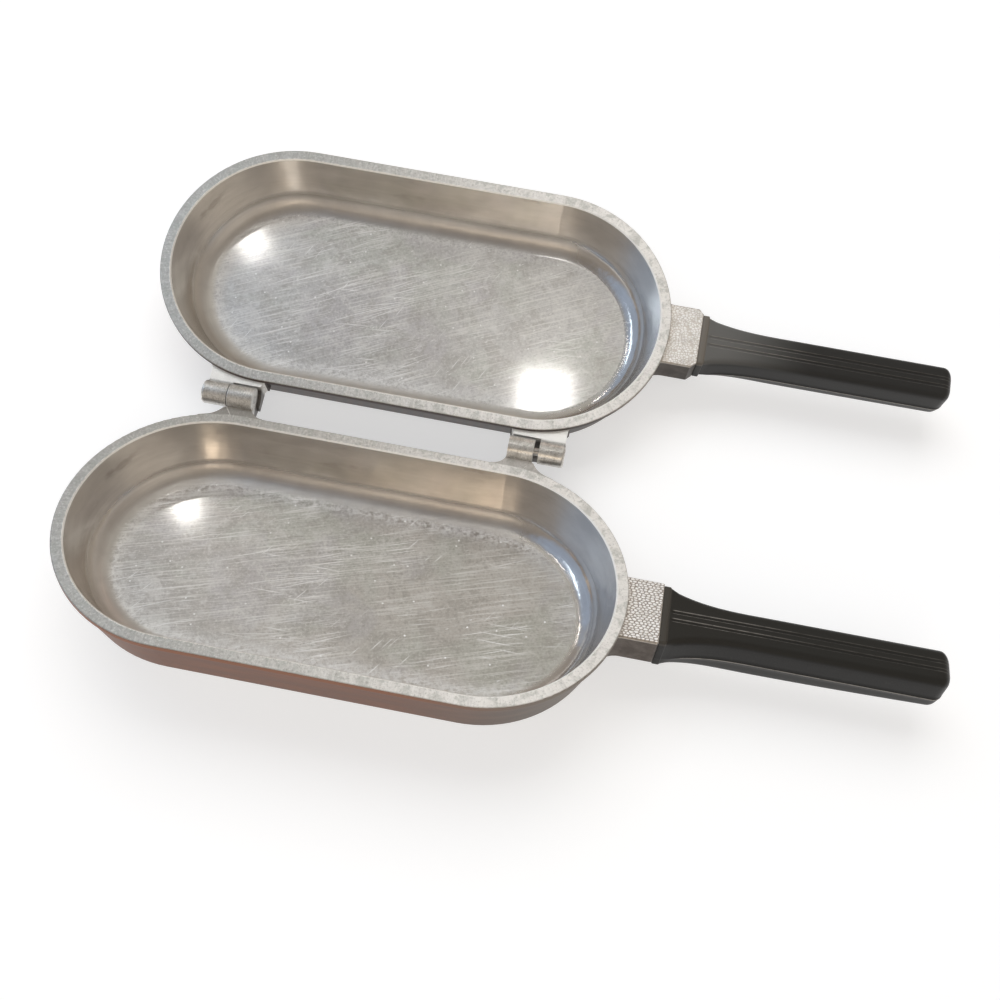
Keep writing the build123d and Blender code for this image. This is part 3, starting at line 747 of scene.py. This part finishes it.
def make_floor():
    """A plain floor that is white in the light where it is seen, directly or in a reflection."""
    bpy.ops.mesh.primitive_circle_add(vertices=96, radius=12, fill_type="NGON")
    floor = bpy.context.object
    floor.name = "floor"
    s = Shader("floor")
    path = s.node("ShaderNodeLightPath").outputs
    seen = s.math("MAXIMUM", path["Is Glossy Ray"], path["Is Transmission Ray"])
    seen = s.math("MAXIMUM", path["Is Camera Ray"], seen)
    s.bsdf.inputs["Emission Color"].default_value = (1, 1, 1, 1)
    s.put(s.bsdf.inputs["Emission Strength"], s.times(seen, FLOOR_LIFT))
    s.bsdf.inputs["Specular IOR Level"].default_value = 0.0
    floor.data.materials.append(s.finish(STAGE_COLOR, 0.8, metallic=0.0))


def rounded_loop(corners, radii, arc_steps, edges):
    """Points round a closed polygon with rounded corners.

    edges holds, for each corner, the points on the edge that follows it. A plain number is a share of the
    edge, and a tuple holds a place across in millimetres.
    """
    count = len(corners)
    starts, ends, arcs = [], [], []
    for i in range(count):
        corner = np.array(corners[i], float)
        into = corner - np.array(corners[i - 1], float)
        out = np.array(corners[(i + 1) % count], float) - corner
        into, out = into / np.linalg.norm(into), out / np.linalg.norm(out)
        turn = math.acos(max(-1, min(1, float(into @ out))))
        reach = radii[i] * math.tan(turn / 2)
        start, end = corner - into * reach, corner + out * reach
        if reach < 1e-6:
            arcs.append([corner] * (arc_steps + 1))
        else:
            bisector = out - into
            centre = corner + bisector / np.linalg.norm(bisector) * radii[i] / math.cos(turn / 2)
            a, b = start - centre, end - centre
            arc = []
            for step in range(arc_steps + 1):
                t = step / arc_steps
                arc.append(centre + (a * math.sin((1 - t) * turn) + b * math.sin(t * turn)) / math.sin(turn))
            arcs.append(arc)
        starts.append(start)
        ends.append(end)
    points = []
    for i in range(count):
        points += arcs[i]
        here, there = ends[i], starts[(i + 1) % count]
        for place in edges[i]:
            if isinstance(place, tuple):
                share = (place[0] - here[0]) / (there[0] - here[0])
            else:
                share = place
            points.append(here + (there - here) * share)
    return points


def grip_depth(side, along):
    """The grip's depth below the block's top."""
    neck = COLLAR_HEIGHT[side] - NECK_STEP[side]
    if along < GRIP_PEAK:
        share = (along - COLLAR_LENGTH) / (GRIP_PEAK - COLLAR_LENGTH)
        return neck + (GRIP_HEIGHT[side] - neck) * math.sin(math.radians(90 * share))
    share = (along - GRIP_PEAK) / (HANDLE_LENGTH[side] - GRIP_PEAK)
    return TIP_HEIGHT[side] + (GRIP_HEIGHT[side] - TIP_HEIGHT[side]) * math.cos(math.radians(90 * share))


def handle_loop(half_top, half_seam, half_bottom, top, bottom, radii, ridge):
    """One section of the handle, with places for the two grooves on its top and a ridge at its seam."""
    above, upper, lower, below = (-SEAM_DEPTH + rise for rise in (0.45, 0.2, -0.2, -0.45))
    foot, proud = half_seam - 0.02, half_seam + ridge
    corners = [
        (-half_top, top), (half_top, top),
        (foot, above), (proud, upper), (proud, lower), (foot, below),
        (half_bottom, bottom), (-half_bottom, bottom),
        (-foot, below), (-proud, lower), (-proud, upper), (-foot, above),
    ]
    top_radius, bottom_radius = radii
    soft = [top_radius, top_radius, 0, 0, 0, 0, bottom_radius, bottom_radius, 0, 0, 0, 0]
    top_places = [(place + step,) for place in GROOVE_PLACES for step in GROOVE_STEPS]
    thirds, quarters = [1 / 3, 2 / 3], [0.25, 0.5, 0.75]
    edges = [top_places, quarters, [], [], [], thirds, thirds, thirds, [], [], [], quarters]
    return rounded_loop(corners, soft, ARC_STEPS, edges)


def handle_stations(side):
    """For each section: its distance from the block, its loop, and the grooves' share of their depth."""
    stations = []
    width, height, step = COLLAR_WIDTH[side], COLLAR_HEIGHT[side], NECK_STEP[side]
    for along, inset in COLLAR_STATIONS:
        if along < COLLAR_FLAT_END:
            side_inset, top_inset = inset, inset
        else:
            side_inset, top_inset = inset * step, inset * NECK_TOP_STEP
        half = width / 2 - side_inset
        loop = handle_loop(half, half, half, -top_inset, side_inset - height, COLLAR_RADII, 0.0)
        stations.append((along, loop, 0.0))
    neck_width = width - 2 * step
    tip_start = HANDLE_LENGTH[side] - TIP_RUN
    even = np.linspace(EVEN_START, tip_start - TIP_MARGIN, EVEN_COUNT)
    grips = [(place, 0.0) for place in (*GRIP_STATIONS, *even, tip_start)]
    for share in TIP_SHARES:
        place = tip_start + TIP_RUN * share / TIP_SHARES[-1]
        grips.append((place, TIP_RADIUS * (1 - math.sqrt(1 - share**2))))
    for along, narrowing in grips:
        rest = max(0.0, 1 - (along - COLLAR_LENGTH) / FLARE_LENGTH)
        half_top = (GRIP_WIDTH[side] + (neck_width - GRIP_WIDTH[side]) * rest**3) / 2 - narrowing
        top = -NECK_TOP_STEP * rest - narrowing
        bottom = narrowing - grip_depth(side, along)
        soften = min(1.0, (along - COLLAR_LENGTH) / 4)
        ends = (GRIP_TOP_RADIUS[side], GRIP_BOTTOM_RADIUS)
        radii = [neck + (grip - neck) * soften for neck, grip in zip(NECK_RADII, ends)]
        half_seam = half_top + SEAM_SWELL * soften
        half_bottom = half_top - BOTTOM_NARROWING * soften
        fade = min(1.0, max(0.0, (along - 7) / 8))
        loop = handle_loop(half_top, half_seam, half_bottom, top, bottom, radii, SEAM_RIDGE * fade)
        start = min(1.0, max(0.0, (along - GROOVE_START) / GROOVE_START_RUN))
        stop = min(1.0, max(0.0, (HANDLE_LENGTH[side] - GROOVE_STOP - along) / GROOVE_STOP_RUN))
        stations.append((along, loop, math.sin(math.radians(90 * min(start, stop)))))
    return stations


def cut(made, cutters):
    """Takes the cutters out of a piece and leaves the result as its own mesh."""
    for cutter in cutters:
        modifier = made.modifiers.new("cut", "BOOLEAN")
        modifier.operation = "DIFFERENCE"
        modifier.solver = "EXACT"
        modifier.object = cutter
    graph = bpy.context.evaluated_depsgraph_get()
    result = bpy.data.meshes.new_from_object(made.evaluated_get(graph))
    made.modifiers.clear()
    made.data = result
    for cutter in cutters:
        bpy.data.objects.remove(cutter)


def local_object(name, side, bm):
    """Turns millimetres in a half's frame into an object in the row frame."""
    bm.transform(half_matrix(side) @ Matrix.Scale(MM, 4))
    mesh = bpy.data.meshes.new(name)
    bm.to_mesh(mesh)
    bm.free()
    made = bpy.data.objects.new(name, mesh)
    bpy.context.scene.collection.objects.link(made)
    return made


def make_handle(side, material):
    """The moulded handle: collar, flare, twin grooves, seam ridge, rounded tip, socket and screw hole."""
    name = f"{NAMES[side]}_grip"
    across, level = side * CENTRE_V, BLOCK_LEVEL[side]
    bm = bmesh.new()
    rings = []
    for along, loop, groove in handle_stations(side):
        ring = []
        for v, z in loop:
            for place in GROOVE_PLACES:
                away = abs(v - place)
                if z > -6 and away < GROOVE_HALF:
                    z -= groove * GROOVE_DEPTH * (1 - (away / GROOVE_HALF) ** 2) ** 0.8
            ring.append(bm.verts.new((BLOCK_END + along, across + v, level + z)))
        rings.append(ring)
    count = len(rings[0])
    for near, far in zip(rings, rings[1:]):
        for i in range(count):
            j = (i + 1) % count
            bm.faces.new((near[i], near[j], far[j], far[i]))
    bm.faces.new(rings[0][::-1])
    middle = sum((v.co for v in rings[-1]), Vector()) / count
    previous = rings[-1]
    for shrink in TIP_RINGS:
        ring = [bm.verts.new(middle + (v.co - middle) * shrink) for v in rings[-1]]
        for i in range(count):
            j = (i + 1) % count
            bm.faces.new((previous[i], previous[j], ring[j], ring[i]))
        previous = ring
    centre = bm.verts.new(middle)
    for i in range(count):
        bm.faces.new((previous[i], previous[(i + 1) % count], centre))
    bmesh.ops.remove_doubles(bm, verts=bm.verts, dist=1e-5)
    bmesh.ops.recalc_face_normals(bm, faces=bm.faces)
    made = local_object(name, side, bm)
    made.data.materials.append(material)
    tang = level - TANG_DEPTH
    seat = level - grip_depth(side, SCREW_ALONG) + SCREW_WELL_DEPTH
    cutters = []
    bm = bmesh.new()
    place = Matrix.Translation((BLOCK_END + SOCKET_REACH / 2 - 0.5, across, tang))
    bmesh.ops.create_cube(bm, size=1, matrix=place @ Matrix.Diagonal((*SOCKET_SIZE, 1)))
    cutters.append(local_object("socket", side, bm))
    for radius, low, high in ((SCREW_RADIUS, seat - 0.5, tang), (SCREW_WELL_RADIUS, seat - 30, seat)):
        bm = bmesh.new()
        place = Matrix.Translation((BLOCK_END + SCREW_ALONG, across, (low + high) / 2))
        sizes = {"radius1": radius, "radius2": radius, "depth": high - low}
        bmesh.ops.create_cone(bm, cap_ends=True, segments=64, matrix=place, **sizes)
        cutters.append(local_object("bore", side, bm))
    cut(made, cutters)
    mesh = made.data
    mesh.shade_smooth()
    mesh.set_sharp_from_angle(angle=math.radians(SMOOTH_ANGLE["grip"]))
    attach(made, NAMES[side])
    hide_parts(f"{NAMES[side]}_handle")


def make_pebbles(side, material):
    """The cobbled top of the handle block, as a thin closed skin sunk in the casting."""
    rng = np.random.default_rng(PEBBLE_SEED + side)
    seeds = []
    for row in range(*PEBBLE_ROWS):
        for column in range(*PEBBLE_COLUMNS):
            slant = 0.5 * row + 0.12 * (row % 3)
            jitter = rng.normal(0, PEBBLE_JITTER[side], 2)
            seeds.append((column + slant % 1.0 + jitter[0], row + jitter[1], rng.uniform(0.75, 1.0)))
    seeds = np.array(seeds)
    columns_count = int(2 * PATCH_HALF / PEBBLE_STEP)
    rows_count = int(PATCH_LENGTH / PEBBLE_STEP)
    v = np.linspace(-PATCH_HALF, PATCH_HALF, columns_count)
    start = STRAIGHT + np.sqrt(RIM_RADIUS**2 - v**2) - 0.5
    end = BLOCK_END - 0.12 - np.maximum(0, np.abs(v) - (BLOCK_HALF - BLOCK_CORNER[side]))
    share = np.linspace(0, 1, rows_count)
    u = start[None, :] + (end - start)[None, :] * share[:, None]
    v = np.broadcast_to(v, u.shape)
    points = np.stack([u - BLOCK_MIDDLE, v], -1).reshape(-1, 1, 2) / PEBBLE_PITCH[side]
    distance = np.sqrt(((points - seeds[None, :, :2]) ** 2).sum(-1))
    # Each pebble is where one seed is nearest; it falls off where the next seed is as near
    order = np.argsort(distance, axis=1)[:, :2]
    first = np.take_along_axis(distance, order[:, :1], 1)[:, 0]
    second = np.take_along_axis(distance, order[:, 1:2], 1)[:, 0]
    gap = np.clip((second - first) / PEBBLE_GAP, 0, 1)
    dome = gap * gap * (3 - 2 * gap) * (1 - 0.35 * np.clip(first / 0.6, 0, 1) ** 2)
    height = (dome * seeds[order[:, 0], 2]).reshape(u.shape) * PEBBLE_HEIGHT[side]
    border = np.minimum.reduce([
        np.clip((PATCH_HALF - np.abs(v)) / SIDE_FADE, 0, 1),
        np.clip((1 - share[:, None]) * END_RUN / END_FADE, 0, 1) * np.ones_like(v),
    ])
    round_off = np.maximum(0, np.abs(v) - (BLOCK_HALF - CREST_RADIUS))
    sink = CREST_RADIUS - np.sqrt(CREST_RADIUS**2 - round_off**2)
    z = BLOCK_LEVEL[side] - sink + height * border - PEBBLE_SINK * (1 - border)
    grid = np.stack([u, side * CENTRE_V + v, z], -1)
    bm = bmesh.new()
    top = [[bm.verts.new(point) for point in row] for row in grid]
    for i in range(rows_count - 1):
        for j in range(columns_count - 1):
            bm.faces.new((top[i][j], top[i + 1][j], top[i + 1][j + 1], top[i][j + 1]))
    loop = top[0] + [row[-1] for row in top[1:]] + top[-1][-2::-1] + [row[0] for row in top[-2:0:-1]]
    under = [bm.verts.new((p.co.x, p.co.y, BLOCK_LEVEL[side] - SKIN_DEPTH)) for p in loop]
    for i in range(len(loop)):
        j = (i + 1) % len(loop)
        bm.faces.new((loop[i], loop[j], under[j], under[i]))
    bm.faces.new(under)
    bmesh.ops.recalc_face_normals(bm, faces=bm.faces)
    made = local_object(f"{NAMES[side]}_block_pebbles", side, bm)
    made.data.materials.append(material)
    made.data.shade_smooth()
    made.data.set_sharp_from_angle(angle=math.radians(SMOOTH_ANGLE["pebbles"]))
    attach(made, NAMES[side])


make_camera()
for half in (BASE, LID):
    dress_pan(half)
    make_handle(half, phenolic_material(half))
    make_pebbles(half, pebble_material(half))
steel = steel_material()
for node_name, node_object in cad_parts.items():
    if node_name.endswith(("screw", "washer", "pin")):
        node_object.data.materials.clear()
        node_object.data.materials.append(steel)
world_light()
make_floor()
for lamp_values in LAMPS:
    lamp(*lamp_values)
bpy.context.scene.view_settings.view_transform = "Standard"
